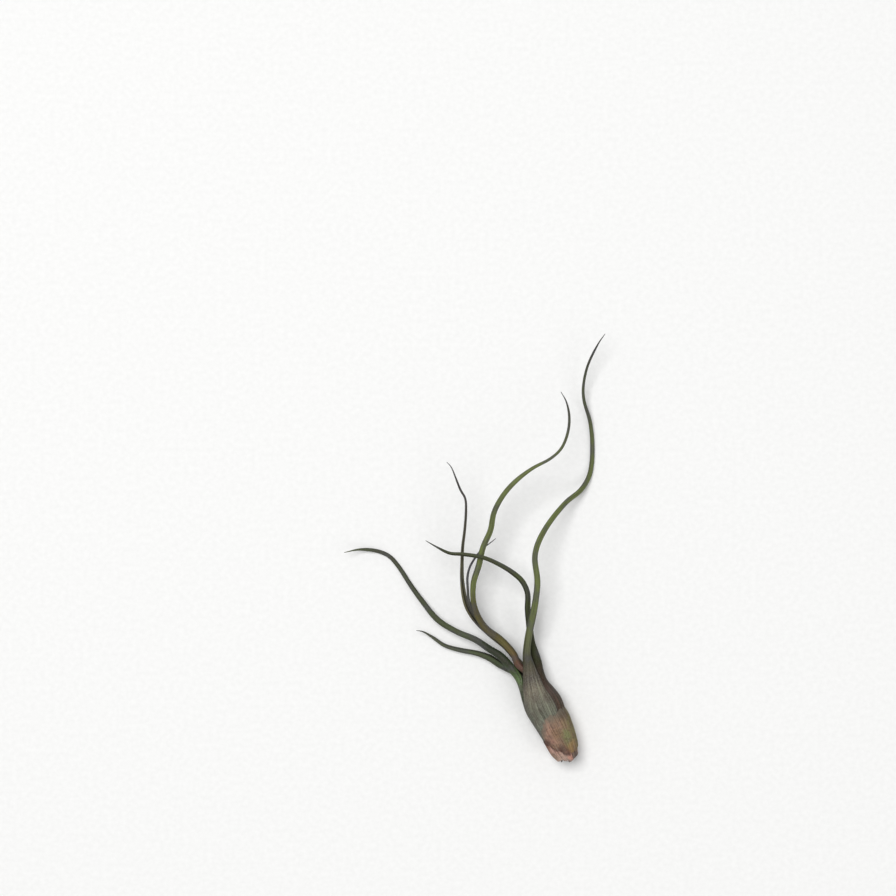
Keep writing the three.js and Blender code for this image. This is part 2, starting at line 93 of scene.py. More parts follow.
# sheath: its layer in the bulb (1 is the outer one), its start along the axis, the way its back faces,
#         and half the angle that it goes round.
# tuck:   degrees by which its first and its last margin go on under the neighbouring sheaths.
# neck:   sections (along, side, height, radius, facing, half angle), measured from the bulb's axis.
# bloom:  how much the sheath's pale veins and minute scales show.
# gloss:  the skin's specular level, where it isn't SKIN_GLOSS.
# roll:   the facing of the rolled blade, at its start and at its tip.
# blade:  places (x, y, z, width) of its middle, from the neck to the tip.
# tones:  colours at distances from the foot of the sheath.
LEAVES = {
    "leaf_long_right": {
        "slot": "olive_leaf",
        "sheath": (1, 1.6, 114, 61.5),
        "neck": [
            (25, 0.1, 0.4, 4.7, 104, 51),
            (29.5, 0.5, 1.3, 2.8, 94, 66),
            (33, 1.4, 2.3, 1.8, 75, 85),
        ],
        "roll": (60, 20),
        "blade": [
            (16.3, -32.4, 9.1, 2.5),
            (16.9, -27.0, 10.8, 2.3),
            (18.0, -21.6, 12.4, 2.2),
            (19.0, -16.0, 13.7, 2.0),
            (19.5, -10.0, 14.7, 1.9),
            (18.7, -2.8, 15.0, 1.8),
            (19.9, 2.1, 14.4, 1.8),
            (23.3, 8.0, 12.0, 1.7),
            (28.7, 14.3, 7.0, 1.6),
            (33.5, 18.2, 3.2, 1.6),
            (36.3, 23.2, 1.0, 1.5),
            (37.1, 30.8, 0.7, 1.4),
            (36.4, 39.2, 1.6, 1.2),
            (34.4, 46.0, 3.8, 1.0),
            (34.1, 50.5, 5.3, 0.9),
            (35.4, 57.0, 7.6, 0.8),
            (38.6, 63.8, 10.0, 0.7),
            (40.74, 66.9, 11.0, 0.6),
        ],
        "tones": [
            (0, "6f6757"),
            (14, "6c6f5f"),
            (23, "756c5b"),
            (26.5, "4a3f37"),
            (29.5, "514a38"),
            (32.5, "3c3f26"),
            (36, "5c5e3f"),
            (45, "626b3a"),
            (60, "677239"),
            (100, "657037"),
            (122, "515835"),
            (140, "363930"),
            (160, "272625"),
        ],
    },
    "leaf_front_left": {
        "slot": "olive_leaf",
        "sheath": (2, 4.0, 95, 54),
        "neck": [
            (20.5, 0.0, 1.0, 3.1, 95, 68),
            (24, 0.1, 1.9, 1.6, 95, 120),
            (29.5, 0.1, 0.9, 1.25, 95, 140),
            (33.5, -1.5, 1.4, 1.2, 110, 155),
        ],
        "roll": (110, 150),
        "blade": [
            (12.0, -32.8, 9.0, 2.2),
            (8.1, -28.5, 10.0, 2.2),
            (3.7, -25.2, 11.2, 2.2),
            (1.0, -21.2, 12.2, 2.0),
            (-0.4, -16.2, 12.9, 1.7),
            (-0.3, -10.5, 13.5, 1.8),
            (1.3, -5.3, 13.9, 1.9),
            (2.6, 0.3, 14.2, 1.8),
            (4.9, 5.6, 15.0, 1.8),
            (6.0, 11.2, 16.2, 1.7),
            (8.7, 16.4, 17.6, 1.6),
            (12.6, 20.9, 18.6, 1.5),
            (17.8, 24.9, 18.97, 1.1),
            (23.5, 28.0, 18.6, 0.9),
            (26.9, 31.2, 18.0, 0.9),
            (28.9, 36.1, 16.6, 0.9),
            (29.4, 41.0, 15.2, 0.8),
            (28.5, 45.7, 13.8, 0.7),
            (26.8, 48.8, 13.0, 0.6),
        ],
        "tones": [
            (0, "6a4a3a"),
            (30, "5c3429"),
            (34, "645025"),
            (39, "605823"),
            (46, "514717"),
            (54, "544d1b"),
            (61, "667134"),
            (85, "68733a"),
            (108, "606938"),
            (125, "484a3d"),
            (140, "343130"),
        ],
    },
    "leaf_low_left": {
        "slot": "green_leaf",
        "sheath": (1, 1.8, 217, 38.5),
        "tuck": (34, 16),
        "neck": [
            (25, -0.9, 0.1, 4.2, 198, 36),
            (27.5, -2.2, 0.6, 2.4, 175, 46),
            (30, -3.1, 0.6, 1.4, 170, 130),
        ],
        "roll": (170, 200),
        "blade": [
            (11.8, -37.9, 6.6, 2.7),
            (8.3, -33.9, 6.6, 2.5),
            (4.8, -31.7, 6.2, 2.3),
            (0.3, -28.7, 5.5, 2.1),
            (-5.7, -26.2, 4.5, 1.9),
            (-11.5, -22.6, 3.4, 1.9),
            (-16.3, -16.9, 2.2, 1.7),
            (-20.1, -11.7, 1.2, 1.5),
            (-23.6, -6.3, 0.7, 1.4),
            (-26.7, -2.8, 0.6, 1.3),
            (-30.7, -1.1, 1.0, 1.2),
            (-36.0, -0.6, 2.8, 0.9),
            (-40.86, -1.5, 5.0, 0.6),
        ],
        "tones": [
            (0, "5c5648"),
            (14, "555a49"),
            (24, "4d5a3a"),
            (28, "4f6d2f"),
            (31, "37501f"),
            (35, "222f12"),
            (42, "1b260e"),
            (50, "454f2e"),
            (58, "3f4826"),
            (75, "3c432b"),
            (90, "434836"),
            (98, "525b35"),
            (105, "6a6c45"),
        ],
    },
    "leaf_short_left": {
        "slot": "green_leaf",
        "sheath": (2, 3.9, 215, 54),
        "neck": [
            (20.5, -0.9, -0.6, 3.0, 215, 66),
            (24, -1.7, -1.2, 1.45, 215, 120),
            (27, -1.6, -2.3, 1.2, 225, 140),
            (30, -2.1, -2.9, 1.2, 225, 150),
        ],
        "roll": (215, 200),
        "blade": [
            (11.3, -38.3, 3.5, 2.3),
            (7.9, -36.6, 3.1, 2.3),
            (4.7, -34.6, 2.7, 2.1),
            (0.8, -33.2, 2.3, 1.7),
            (-4.5, -32.2, 1.9, 1.5),
            (-9.3, -30.8, 1.7, 1.2),
            (-13.1, -28.2, 2.0, 1.0),
            (-16.1, -26.4, 2.7, 0.8),
            (-18.3, -26.0, 3.3, 0.6),
        ],
        "tones": [
            (0, "5c5648"),
            (26, "44552c"),
            (31, "33461e"),
            (36, "37451f"),
            (44, "4a5432"),
            (54, "4b5138"),
            (62, "42443a"),
        ],
    },
    "leaf_arched": {
        "slot": "grey_leaf",
        "sheath": (1, 2.0, 334, 74.5),
        "tuck": (0, 34),
        "bloom": 0.15,
        "gloss": 0.2,
        "neck": [
            (25, 0.6, -0.4, 4.1, 346, 62),
            (27.5, 1.9, 0.0, 2.8, 358, 57),
            (30, 3.4, -0.4, 1.75, 345, 130),
        ],
        "roll": (350, 300),
        "blade": [
            (19.4, -35.0, 5.5, 3.0),
            (17.8, -29.7, 6.1, 2.5),
            (17.2, -24.5, 7.2, 2.1),
            (16.6, -19.0, 9.4, 1.9),
            (16.5, -14.0, 11.8, 1.7),
            (14.8, -10.2, 13.8, 1.7),
            (11.6, -7.3, 15.6, 1.6),
            (7.3, -4.7, 17.0, 1.4),
            (2.6, -2.7, 17.6, 1.3),
            (-3.7, -1.7, 17.0, 1.2),
            (-7.8, -1.4, 16.2, 1.0),
            (-12.0, 0.6, 14.8, 0.8),
            (-15.3, 2.5, 13.8, 0.6),
        ],
        "tones": [
            (0, "5a4d40"),
            (14, "5c4535"),
            (19, "645049"),
            (24, "3c281e"),
            (28, "2a2213"),
            (32, "2f3318"),
            (37, "2e3519"),
            (48, "454e2a"),
            (60, "4e5536"),
            (75, "50563a"),
            (95, "4a4e3e"),
        ],
    },
    "leaf_thin_upright": {
        "slot": "grey_leaf",
        "sheath": (2, 4.2, 335, 53),
        "neck": [
            (20.5, 0.9, -0.6, 3.0, 333, 66),
            (24, 1.7, -1.2, 1.45, 325, 120),
            (27, 0.9, -2.5, 1.15, 295, 140),
            (30, 0.5, -3.2, 1.1, 285, 150),
        ],
        "roll": (280, 250),
        "blade": [
            (14.5, -36.6, 4.0, 2.1),
            (10.1, -31.2, 5.9, 2.0),
            (5.6, -27.5, 7.1, 1.9),
            (2.0, -24.3, 7.7, 1.8),
            (-0.6, -21.2, 9.0, 1.8),
            (-2.3, -18.2, 10.0, 1.7),
            (-3.3, -14.6, 10.8, 1.6),
            (-3.9, -9.5, 11.2, 1.3),
            (-3.9, -4.5, 11.2, 1.1),
            (-3.7, 0.5, 11.2, 1.0),
            (-3.1, 5.5, 12.0, 0.9),
            (-2.7, 11.0, 13.8, 0.8),
            (-2.9, 15.5, 15.6, 0.7),
            (-4.4, 18.2, 16.8, 0.7),
            (-5.9, 22.0, 18.0, 0.6),
            (-7.3, 25.4, 18.8, 0.6),
            (-8.7, 26.9, 19.2, 0.6),
        ],
        "tones": [
            (0, "5c4c3c"),
            (32, "54502f"),
            (45, "4c4830"),
            (56, "625d40"),
            (68, "6c6a4d"),
            (80, "625e50"),
            (90, "5c5651"),
            (110, "464143"),
        ],
    },
    "leaf_inner_thin": {
        "slot": "grey_leaf",
        "sheath": (3, 7.2, 90, 60),
        "neck": [
            (12, 0, 0, 1.5, 90, 140),
            (19, 0, 0, 0.9, 100, 160),
            (24, 0, -0.2, 0.5, 110, 160),
            (29.5, -0.5, -0.7, 0.45, 120, 160),
            (33.5, -1.3, -0.4, 0.45, 120, 160),
        ],
        "roll": (150, 200),
        "blade": [
            (12.2, -34.0, 6.8, 0.9),
            (8.4, -29.4, 8.0, 0.9),
            (2.8, -24.3, 9.7, 0.9),
            (-0.3, -19.8, 10.8, 0.9),
            (-1.8, -16.2, 11.9, 0.9),
            (-2.1, -12.6, 11.7, 0.8),
            (-2.2, -9.0, 11.1, 0.8),
            (-1.2, -5.3, 10.4, 0.7),
            (2.3, -0.4, 10.0, 0.7),
            (5.1, 1.8, 10.2, 0.6),
            (6.7, 3.1, 10.4, 0.6),
        ],
        "tones": [(0, "5a5548"), (50, "4b4b40"), (62, "4a4a50"), (75, "38363d")],
    },
}


def bulb_point(along, side, height):
    return FOOT + ALONG * along + SIDE * side + UP * height


def ease(low, high, value):
    """0 at low, 1 at high, smooth between them."""
    share = min(max((value - low) / (high - low), 0), 1)
    return share * share * (3 - 2 * share)


def smooth_value(rows, column, place):
    """The value at `place` on a smooth curve through rows whose first number is their place."""
    last = len(rows) - 1
    k = 0
    while k < last - 1 and place > rows[k + 1][0]:
        k += 1

    def slope_at(i):
        before, after = rows[max(i - 1, 0)], rows[min(i + 1, last)]
        return (after[column] - before[column]) / (after[0] - before[0])

    span = rows[k + 1][0] - rows[k][0]
    t = min(max((place - rows[k][0]) / span, 0), 1)
    share = ease(0, 1, t)
    bend = t * (1 - t) ** 2 * slope_at(k) + t * t * (t - 1) * slope_at(k + 1)
    return rows[k][column] * (1 - share) + rows[k + 1][column] * share + span * bend


def bulb_radius(along):
    return smooth_value(BULB_OUTLINE, 1, along)


def leaf_rows(leaf):
    """Rows (distance, x, y, z, radius, facing, half angle, turn) from the foot of the sheath to the tip.

    "turn" goes from 0, a section square to the bulb's axis, to 1, square to the blade.
    """
    layer, start, facing, wrap = leaf["sheath"]
    end = min(SHEATH_TOP, leaf["neck"][0][0] - SHEATH_STEP)
    rings = max(2, round((end - start) / SHEATH_STEP))
    shapes = []
    for i in range(rings + 1):
        along = start + (end - start) * i / rings
        radius = bulb_radius(along) - (layer - 1) * LAYER_PITCH
        shapes.append((bulb_point(along, 0, 0), radius, facing, wrap, 0))
    for along, side, height, radius, facing, wrap in leaf["neck"]:
        shapes.append((bulb_point(along, side, height), radius, facing, wrap, 0))
    first, last = leaf["roll"]
    for i, (x, y, z, width) in enumerate(leaf["blade"]):
        facing = first + (last - first) * i / (len(leaf["blade"]) - 1)
        shapes.append((Vector((x, y, z)), width / 2, facing, BLADE_WRAP, 1))
    rows = []
    distance = 0
    for i, (middle, *values) in enumerate(shapes):
        if i:
            distance += (middle - shapes[i - 1][0]).length
        rows.append((distance, *middle, *values))
    return rows


def leaf_stations(rows):
    """The leaf's cross-sections: (distance, middle, side, lift, radius, facing, half angle)."""
    length = rows[-1][0]
    count = round(length / LEAF_STEP)

    def middle_at(place):
        return Vector([smooth_value(rows, column, place) for column in (1, 2, 3)])

    stations = []
    for i in range(count + 1):
        place = length * i / count
        travel = middle_at(min(place + AIM, length)) - middle_at(max(place - AIM, 0))
        heading = ALONG.lerp(travel.normalized(), smooth_value(rows, 7, place)).normalized()
        side = heading.cross(UP).normalized()
        taper = min(1, TIP_SHARE + (1 - TIP_SHARE) * (length - place) / TIP_TAPER)
        radius, facing, wrap = (smooth_value(rows, column, place) for column in (4, 5, 6))
        stations.append((place, middle_at(place), side, side.cross(heading), radius * taper, facing, wrap))
    return stations


def dents(point, seed):
    """Soft unevenness, from -1 to 1."""
    return noise.noise(point / DENT_SIZE + Vector((seed, 0, 0)))


def new_piece(name, mesh, finish, slot, *nodes):
    """Puts a finished bmesh into the scene, as a piece that stands for CAD nodes."""
    data = bpy.data.meshes.new(name)
    mesh.to_mesh(data)
    mesh.free()
    piece = bpy.data.objects.new(name, data)
    bpy.context.scene.collection.objects.link(piece)
    data.materials.append(finish)
    for face in data.polygons:
        face.use_smooth = True
    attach(piece, "root")
    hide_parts(*nodes)
    return piece


def leaf_turn(across, wrap, tuck):
    """The angle between a leaf's back and a place across it, and how much of it lies past the margin."""
    tucked = tuck * ease(OPEN_WRAP[1], OPEN_WRAP[0], wrap)
    edge = 1 - TUCK_SHARE * tucked / tuck if tucked else 1
    past = tucked * max(0, abs(across) - edge) / (1 - edge) if tucked else 0
    return wrap * min(1, abs(across) / edge) + past, past


def leaf_mesh(leaf, seed):
    """One leaf: a grid rolled along its route. Each point keeps its place on the leaf for the finish."""
    stations = leaf_stations(leaf_rows(leaf))
    last = len(stations) - 1
    tuck = leaf.get("tuck", (0, 0))
    mesh = bmesh.new()
    bmesh.ops.create_grid(mesh, x_segments=LEAF_COLUMNS, y_segments=last, size=1)
    across_layer = mesh.verts.layers.float.new("across")
    along_layer = mesh.verts.layers.float.new("along")
    upward_layer = mesh.verts.layers.float.new("upward")
    weights = mesh.verts.layers.deform.verify()
    for vert in mesh.verts:
        across = -vert.co.x
        place, middle, side, lift, radius, facing, wrap = stations[round((vert.co.y + 1) / 2 * last)]
        turn, past = leaf_turn(across, wrap, tuck[1] if across > 0 else tuck[0])
        angle = math.radians(facing + math.copysign(turn, across))
        out = side * math.cos(angle) + lift * math.sin(angle)
        swell = 1 - DENT_DEPTH * abs(dents(middle + out * radius, seed)) * min(1, radius / DENT_FULL)
        sink = TUCK_DEPTH * ease(0, SINK_ANGLE, past)
        point = middle + out * (radius * swell - sink)
        point.z = max(point.z, 0)
        wall = min(LEAF_WALL * (1 - (1 - THIN_MARGIN) * across ** MARGIN_POWER), radius * (1 - ROLL_CORE))
        vert[across_layer] = across
        vert[along_layer] = place
        # How far the skin faces up; the finish uses it to paint shade on the flanks that face down.
        vert[upward_layer] = out.z
        vert[weights][0] = wall / LEAF_WALL
        vert.co = point * MM
    return mesh


def give_wall(piece, thickness, weights=""):
    """A sheet's thickness goes inwards from its outer face."""
    wall = piece.modifiers.new("wall", "SOLIDIFY")
    wall.thickness = thickness * MM
    wall.offset = -1
    wall.vertex_group = weights
    return wall


def smooth_piece(piece, levels):
    rounding = piece.modifiers.new("rounding", "SUBSURF")
    rounding.levels = levels
    rounding.render_levels = levels


# ---- Finishes -----------------------------------------------------------------------------------------


class Value:
    """A node's output. Operators on it add Math nodes."""

    def __init__(self, finish, socket):
        self.finish = finish
        self.socket = socket

    def math(self, operation, *values):
        return self.finish.node("Math", {"operation": operation}, dict(enumerate(values)))

    def __add__(self, other):
        return self.math("ADD", self, other)

    def __sub__(self, other):
        return self.math("SUBTRACT", self, other)

    def __rsub__(self, other):
        return self.math("SUBTRACT", other, self)

    def __mul__(self, other):
        return self.math("MULTIPLY", self, other)

    def __truediv__(self, other):
        return self.math("DIVIDE", self, other)

    def __abs__(self):
        return self.math("ABSOLUTE", self)

    __radd__ = __add__
    __rmul__ = __mul__


class Finish:
    """A material under construction."""

    def __init__(self, name):
        self.material = bpy.data.materials.new(name)
        self.material.use_nodes = True
        self.tree = self.material.node_tree
        self.shader = self.tree.nodes["Principled BSDF"]

    def feed(self, socket, value):
        if isinstance(value, Value):
            self.tree.links.new(value.socket, socket)
        else:
            socket.default_value = value

    def node(self, kind, settings, inputs, output=0):
        """Adds a node: first its settings, then the values or links of its sockets."""
        made = self.tree.nodes.new("ShaderNode" + kind)
        for key, value in settings.items():
            if key == "stops":
                set_stops(made.color_ramp, value)
            else:
                setattr(made, key, value)
        for key, value in inputs.items():
            self.feed(made.inputs[key], value)
        return Value(self, made.outputs[output])

    def attribute(self, name):
        return self.node("Attribute", {"attribute_name": name}, {}, "Fac")

    def place(self):
        return self.node("TexCoord", {}, {}, "Object")

    def noise(self, at, size, detail):
        """Noise from 0 to 1 with spots of about `size`, in the units of `at`."""
        return self.node("TexNoise", {}, {"Vector": at, "Scale": 1 / size, "Detail": detail})

    def streaks(self, across, along, width, length, detail):
        """Noise from 0 to 1 in lengthwise streaks, measured in the units of `across` and of `along`."""
        at = self.node("CombineXYZ", {}, {"X": across, "Y": along / (length / width)})
        return self.noise(at, width, detail)

    def step(self, value, low, high):
        """0 below low, 1 above high, smooth between them."""
        limits = {"Value": value, "From Min": low, "From Max": high}
        return self.node("MapRange", {"interpolation_type": "SMOOTHSTEP"}, limits)

    def coated(self, colour, coats):
        """A colour under coats of (share, colour), from the first to the last."""
        for share, tint in coats:
            colour = self.node("Mix", {"data_type": "RGBA"}, {"Factor": share, 6: colour, 7: tint}, 2)
        return colour

    def ramp(self, value, stops):
        return self.node("ValToRGB", {"stops": stops}, {"Fac": value})

    def done(self, colour, roughness, relief, depth):
        """Connects the shader. `relief` is a height from 0 to 1 and `depth` its real depth."""
        bump = self.node("Bump", {}, {"Strength": 1.0, "Distance": depth * MM, "Height": relief})
        self.feed(self.shader.inputs["Base Color"], colour)
        self.feed(self.shader.inputs["Roughness"], roughness)
        self.feed(self.shader.inputs["Normal"], bump)
        return self.material


def shade(code):
    """A colour from its six-figure code, made linear."""
    parts = [int(code[i : i + 2], 16) / 255 for i in (0, 2, 4)]
    return (*[part / 12.92 if part <= 0.04045 else ((part + 0.055) / 1.055) ** 2.4 for part in parts], 1)


def set_stops(ramp, stops):
    while len(ramp.elements) < len(stops):
        ramp.elements.new(0.5)
    for element, (position, code) in zip(ramp.elements, stops):
        element.position = position
        element.color = shade(code)


def shift(pattern, reach):
    """A pattern from 0 to 1 as a shift that goes half of `reach` either way."""
    return pattern * reach - reach / 2


SCURF = shade("a3a595")
PALE_VEIN = shade("8e9179")
NERVE = shade("2c2a1c")
# Brown for the blades' margins, and painted shade along the sheaths' margins where they meet their
# neighbours.
MARGIN_BROWN_AND_PAINTED_SHADE = shade("2f2620")
UMBER = shade("43332c")
# Painted shade for skin that faces down.
FLANK_PAINTED_SHADE = shade("262a1b")
# Grey-purple patches of the skin; laid on more thickly where the skin faces down, which paints shade there.
DUSK = shade("45424a")
SKIN_GLOSS = 0.5
SKIN_ROUGHNESS = 0.7
SKIN_RELIEF = 0.16
SHEATH_FADE = (24, 34)  # the sheath's look gives way to the blade's between these distances from the foot
LEAF_TONE_SHIFT = 8.0  # the streaks' push on the leaf's tones
BLOTCH_SIZE = 3.0
SCURF_SIZE = 0.32

# Streaks on a leaf: (width in half widths of the leaf, length, detail).
NERVE_STREAKS = (0.1, 22, 4)
BAND_STREAKS = (0.2, 22, 4)
DUSK_STREAKS = (2, 7, 3)


def leaf_finish(name, leaf, length):
    """Matte green skin: lengthwise nerves, blotches, minute grey scales, brown margins and painted shade on
    flanks and margins.
    """
    finish = Finish(name)
    across, along, upward = (finish.attribute(key) for key in ("across", "along", "upward"))
    nerves = finish.streaks(across, along, *NERVE_STREAKS)
    bands = finish.streaks(across, along, *BAND_STREAKS)
    dusk = finish.step(finish.streaks(across, along, *DUSK_STREAKS), 0.48, 0.62)
    blotches = finish.step(finish.noise(finish.place(), BLOTCH_SIZE * MM, 4), 0.48, 0.66)
    scurf = finish.step(finish.noise(finish.place(), SCURF_SIZE * MM, 3), 0.45, 0.62)
    on_sheath = 1 - finish.step(along, *SHEATH_FADE)
    bloom = on_sheath * leaf.get("bloom", 1)
    # How far the skin faces down, which sets the painted shade below.
    flank = 1 - upward
    stops = [(distance / length, code) for distance, code in leaf["tones"]]
    tone = finish.ramp((along + shift(bands, LEAF_TONE_SHIFT)) / length, stops)
    coats = [
        (finish.step(bands, 0.47, 0.62) * 0.55, NERVE),
        (finish.step(1 - bands, 0.5, 0.68) * bloom * 0.4, PALE_VEIN),
        (finish.step(nerves, 0.5, 0.62) * (0.3 + on_sheath * 0.45), NERVE),
        (blotches * (0.2 + on_sheath * 0.25), UMBER),
        # Grey-purple patches of the skin's own colour, plus painted shade where they grow stronger on the
        # flanks that face down.
        (dusk * (0.4 + finish.step(flank, 0.05, 0.6) * 0.35) * (1 - on_sheath * 0.8), DUSK),
        (scurf * (0.04 + bloom * 0.18), SCURF),
        # Painted shade: darker where the skin faces down.
        (finish.step(flank, 0.25, 1.0) * 0.55, FLANK_PAINTED_SHADE),
        # Margins: a little brown on the blades, and on the sheaths mostly painted shade where they meet and
        # tuck under their neighbours.
        (finish.step(abs(across), 0.9, 0.97) * (0.1 + on_sheath * 0.8), MARGIN_BROWN_AND_PAINTED_SHADE),
    ]
    finish.shader.inputs["Specular IOR Level"].default_value = leaf.get("gloss", SKIN_GLOSS)
    relief = nerves * 0.7 + bands * 0.6 + scurf * 0.2
    return finish.done(finish.coated(tone, coats), SKIN_ROUGHNESS - scurf * 0.1, relief, SKIN_RELIEF)


def make_leaves():
    for seed, (name, leaf) in enumerate(LEAVES.items()):
        length = leaf_rows(leaf)[-1][0]
        finish = leaf_finish(name, leaf, length)
        piece = new_piece(name + "_skin", leaf_mesh(leaf, seed), finish, leaf["slot"], name)
        piece.vertex_groups.new(name="thickness")
        give_wall(piece, LEAF_WALL, "thickness")
        smooth_piece(piece, 1)


# ---- The dry sheath and scales ------------------------------------------------------------------------

PAPER_WALL = 0.12
PAPER_GAP = 0.3  # over the outer leaf sheaths, away from the edges
PAPER_CLING = 0.2  # the upper edge presses this far into the soft sheaths
SETTLE = 3.5  # over this distance a sheet comes down to its upper edge
PAPER_COLUMN = 1.0  # degrees between two columns of a dry sheet
PAPER_ROW = 0.2  # about the distance between two of its rows
EDGE_SAMPLES = 8  # a sheet's greatest length is found from this many stretches of its edges
WRINKLE_DEPTH = 0.16
WRINKLES = [(1.0, 8, 11), (0.6, 3, 5)]  # (share, degrees round the bulb, length)

# A torn edge: the angles between which it splits, and its two frays as (share, degrees round the bulb).
SPLIT_RANGE = (-145, 210)
COARSE_FRAY = (0.5, 14)
FINE_FRAY = (0.35, 2.6)

# Upper edge of the dry old sheath: places (angle, along), from its underside round its right to its left.
OLD_SHEATH_EDGE = [
    (-140, 9.0),
    (-115, 14.0),
    (-90, 15.5),
    (-30, 16.2),
    (10, 16.0),
    (57, 15.8),
    (95, 15.3),
    (128, 13.4),
    (143, 11.8),
    (157, 9.6),
]

# Its lower edge, in the same order.
OLD_SHEATH_HEM = [
    (-140, 3.8),
    (-60, 3.6),
    (0, 2.7),
    (45, 1.7),
    (80, 1.7),
    (97, 2.4),
    (116, 4.2),
    (138, 6.5),
    (157, 7.8),
    (180, 7.4),
    (205, 6.4),
]


def torn_edge(seed, size, splits, width=3.4):
    """A function of the angle: the ragged height of a torn edge, from splits along the fibres and a fray.

    `size` is the depth of the deepest split and `width` is half of the widest one's width, in degrees.
    """
    dice = random.Random(seed)
    cuts = []
    for _ in range(splits):
        cuts.append((dice.uniform(*SPLIT_RANGE), dice.uniform(0.3, 1) ** 2, width * dice.uniform(0.3, 1)))

    def height(angle):
        coarse = COARSE_FRAY[0] * noise.noise(Vector((angle / COARSE_FRAY[1], seed, 0)))
        fine = FINE_FRAY[0] * noise.noise(Vector((angle / FINE_FRAY[1], seed, 5)))
        depth = max(deep * max(0, 1 - abs(angle - middle) / half) for middle, deep, half in cuts)
        return size * (coarse + fine - depth)

    return height


def dry_sheet(start, end, low, high, lift, seed):
    """A papery sheet on the bulb between two angles. `lift` is its height at a distance below its top."""
    columns = round(abs(end - start) / PAPER_COLUMN)
    samples = [start + (end - start) * i / EDGE_SAMPLES for i in range(EDGE_SAMPLES + 1)]
    rows = round(max(high(angle) - low(angle) for angle in samples) / PAPER_ROW)
    mesh = bmesh.new()
    bmesh.ops.create_grid(mesh, x_segments=columns, y_segments=rows, size=1)
    angle_layer = mesh.verts.layers.float.new("angle")
    along_layer = mesh.verts.layers.float.new("along")
    edge_layer = mesh.verts.layers.float.new("edge")
    for vert in mesh.verts:
        angle = start + (end - start) * (vert.co.x + 1) / 2
        bottom, top = low(angle), high(angle)
        along = bottom + (top - bottom) * (vert.co.y + 1) / 2
        folds = 0
        for share, degrees, length in WRINKLES:
            folds += share * noise.noise(Vector((angle / degrees, along / length, seed)))
        height = lift(top - along) + PAPER_WALL + WRINKLE_DEPTH * folds * min(1, (top - along) / SETTLE)
        radius = bulb_radius(along) + height
        turn = math.radians(angle)
        point = bulb_point(along, radius * math.cos(turn), radius * math.sin(turn))
        point.z = max(point.z, 0)
        vert[angle_layer] = angle
        vert[along_layer] = along
        vert[edge_layer] = top - along
        vert.co = point * MM
    return mesh


STAIN = shade("57443a")
PALE_FIBRE = shade("a0938a")
DARK_FIBRE = shade("453329")
SPECK = shade("35261f")
PAPER_ROUGHNESS = 0.83
PAPER_PATCH_SIZE = 2.0
SPECK_SIZE = 0.55
TONES_END = 16.0  # a sheet's last tone is this far along the axis
PAPER_TONE_SHIFT = 5.0  # the strands' push on the tones
MARK_SHIFT = 30.0  # on a mark, in degrees
MARK_FRAY = 1.6  # the patches' push on a mark's edge
EDGE_SHIFT = 6.0  # on the upper edge's shade

# Streaks on dry paper: (width in degrees round the bulb, length, detail).
FIBRE_STREAKS = (2.16, 8.1, 4)
STRAND_STREAKS = (6.3, 21, 3)


def paper_finish(name, tones, marks, edge_shade, depth):
    """Dry papery skin with fibres of a depth.

    Marks are soft patches of their own colour. The edge's shade is (colour, share, the distances from the
    upper edge between which it fades out). On the scales it is painted shade just below the old sheath's
    hem; on the old sheath it is the grey-green of its thin upper edge.
    """
    finish = Finish(name)
    angle, along, edge = (finish.attribute(key) for key in ("angle", "along", "edge"))
    fibres = finish.streaks(angle, along, *FIBRE_STREAKS)
    strands = finish.streaks(angle, along, *STRAND_STREAKS)
    patches = finish.noise(finish.place(), PAPER_PATCH_SIZE * MM, 4)
    specks = finish.noise(finish.place(), SPECK_SIZE * MM, 3)
    coats = []
    for middle, centre, half_angle, half_length, share, code in marks:
        turned = (angle - middle + shift(strands, MARK_SHIFT)) / half_angle
        moved = (along - centre) / half_length
        outside = finish.step(turned * turned + moved * moved + shift(patches, MARK_FRAY), 0.0, 1.3)
        coats.append(((1 - outside) * share, shade(code)))
    code, share, near, far = edge_shade
    coats += [
        (finish.step(patches, 0.48, 0.66) * 0.4, STAIN),
        (finish.step(1 - fibres, 0.5, 0.68) * 0.35, PALE_FIBRE),
        (finish.step(fibres, 0.48, 0.66) * 0.6, DARK_FIBRE),
        (finish.step(specks, 0.52, 0.68) * 0.4, SPECK),
        # The upper edge's colour: painted shade on the scales, the old sheath's own grey-green on the old
        # sheath.
        ((1 - finish.step(edge + shift(strands, EDGE_SHIFT), near, far)) * share, shade(code)),
    ]
    tone = finish.ramp((along + shift(strands, PAPER_TONE_SHIFT)) / TONES_END, tones)
    return finish.done(finish.coated(tone, coats), PAPER_ROUGHNESS, fibres + specks * 0.4, depth)


# Tones at places along the axis, as shares of TONES_END.
OLD_SHEATH_TONES = [(0.2, "7a5848"), (0.32, "8a6a52"), (0.5, "93765f"), (0.75, "93765f"), (1.0, "786856")]
OLD_SHEATH_SHADE = ("6a6558", 0.7, -0.3, 3.7)
OLD_SHEATH_RELIEF = 0.13

# Patches on the old sheath: (angle, along, half angle, half length, share, colour).
OLD_SHEATH_MARKS = [
    (10, 8, 52, 11, 0.9, "716c3d"),
    (112, 11, 30, 5.5, 0.85, "a9836f"),
    (42, 15.0, 26, 3.4, 0.85, "503c2b"),
    (66, 6.8, 22, 3.4, 0.85, "797f50"),
    (52, 3.4, 26, 2.4, 0.9, "96794b"),
    (96, 4.6, 12, 1.8, 0.7, "4a382a"),
    (140, 7.9, 26, 1.5, 0.95, "4a241c"),
    (112, 4.4, 14, 1.2, 0.8, "4a241c"),
    (122, 8.2, 12, 1.8, 0.6, "a8806f"),
    (92, 9.2, 26, 2.2, 0.65, "7f6547"),
]


